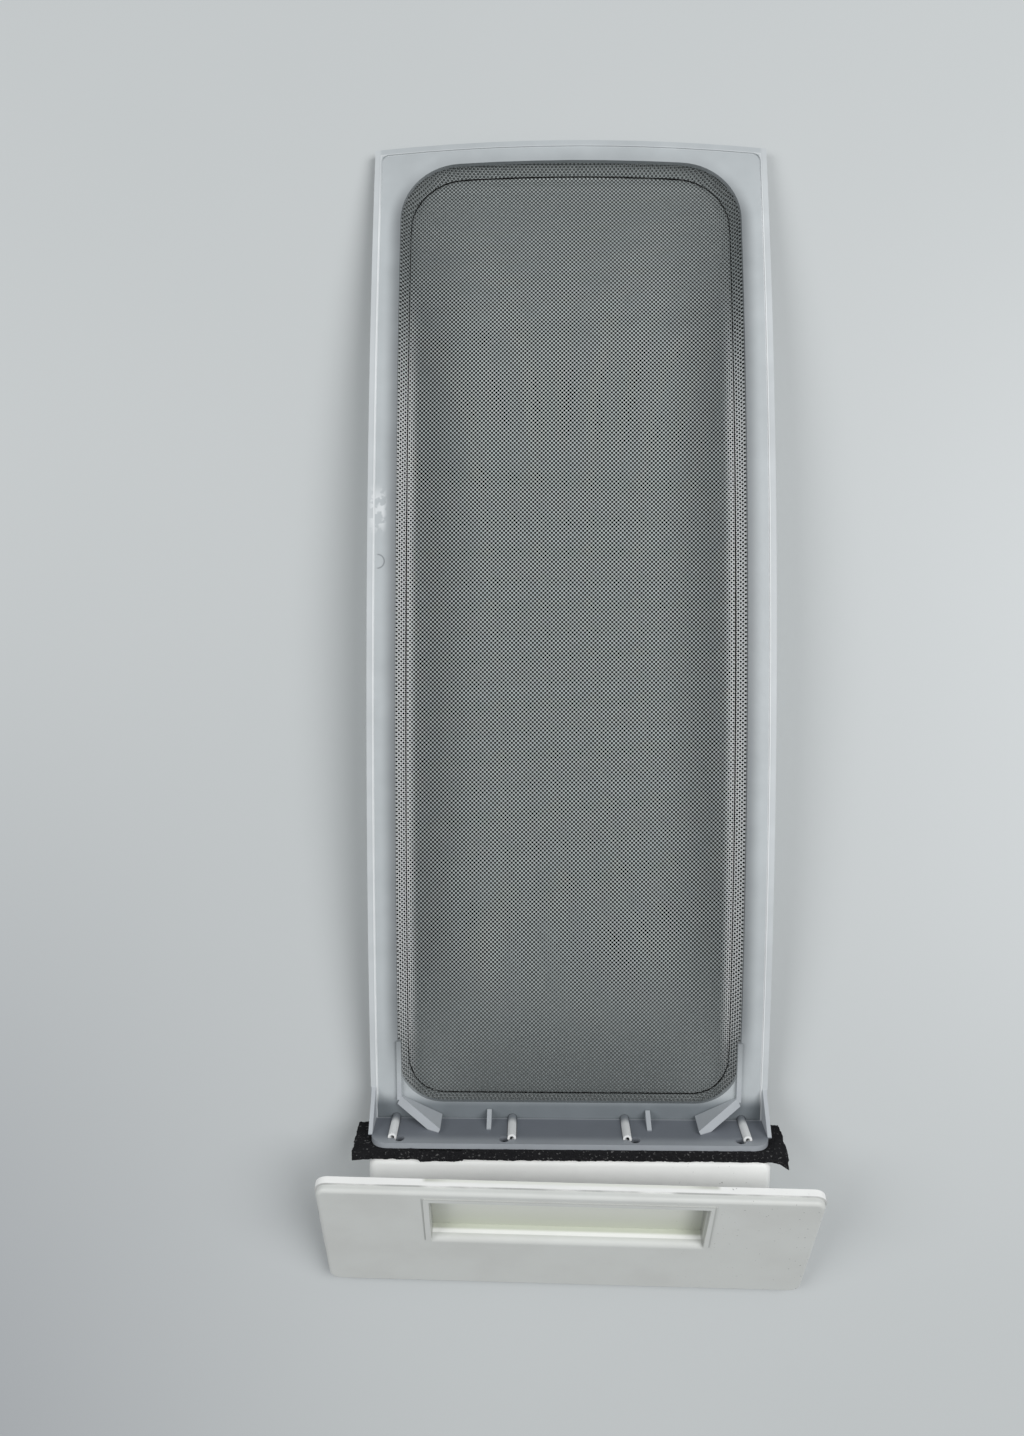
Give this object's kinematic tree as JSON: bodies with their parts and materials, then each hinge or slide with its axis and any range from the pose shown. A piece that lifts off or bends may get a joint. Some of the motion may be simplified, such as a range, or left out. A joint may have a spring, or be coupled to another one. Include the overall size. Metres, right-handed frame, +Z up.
{
  "type": "tumble dryer lint filter",
  "caption": "Arched tumble dryer lint filter: translucent frame round a grey mesh tray, black felt seal and a white pull handle with a finger pocket.",
  "frame": {"origin": "centre of the bounding box on the surface the filter lies on", "axes": "+X across the filter, +Y from the handle to the far end of the frame, +Z up"},
  "size_m": [0.1707, 0.4142, 0.0399],
  "materials": {
    "filter_frame": "satin translucent",
    "mesh_screen": "woven",
    "felt_seal": "fuzzy matt",
    "slotted_pins": "satin",
    "handle_body": "satin",
    "handle_fascia": "satin"
  },
  "bodies": {
    "root": {"filter_frame": "filter_frame", "mesh_screen": "mesh_screen", "felt_seal": "felt_seal", "slotted_pins": "slotted_pins", "handle_body": "handle_body", "handle_fascia": "handle_fascia"}
  },
  "joints": []
}
